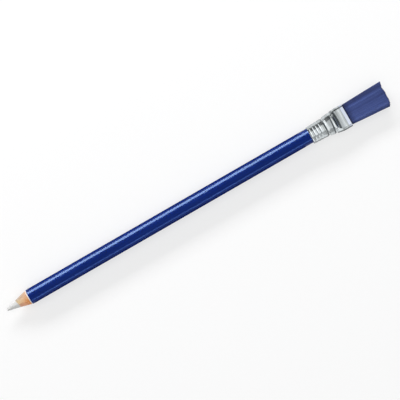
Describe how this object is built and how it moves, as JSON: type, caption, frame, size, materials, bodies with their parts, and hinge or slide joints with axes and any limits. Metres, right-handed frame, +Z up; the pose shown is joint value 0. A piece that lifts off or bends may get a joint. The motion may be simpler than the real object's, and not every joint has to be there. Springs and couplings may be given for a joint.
{
  "type": "typewriter eraser pencil",
  "caption": "Round wood-cased eraser pencil with a sharpened white rubber core and a metal ferrule that holds a flat brush, for rubbing out typed letters and sweeping away the crumbs.",
  "frame": {"origin": "on the surface that the pencil lies on, below its axis and midway between the eraser's nose and the brush's tips", "axes": "+X along the pencil from the eraser to the brush, +Z up from the surface and square to the flat of the brush, +Y across"},
  "size_m": [0.2069, 0.0125, 0.0093],
  "materials": {
    "rubber": "matt white vinyl rubber, cut to a point",
    "casing_wood": "sharpened pale cedar-like wood, unsealed",
    "wood_glue": "thin dried glue line",
    "primer": "matt white undercoat",
    "lacquer": "glossy dark blue lacquer",
    "tin_plate": "bright tin plate, rolled and pressed",
    "resin": "set resin round the bristle roots",
    "bristle": "blue nylon filament, satin"
  },
  "bodies": {
    "root": {"eraser_core": "rubber", "upper_slat": "casing_wood", "lower_slat": "casing_wood", "slat_glue": "wood_glue", "primer_coat": "primer", "lacquer_coat": "lacquer", "ferrule": "tin_plate", "root_plug": "resin", "bristles": "bristle"}
  },
  "joints": []
}
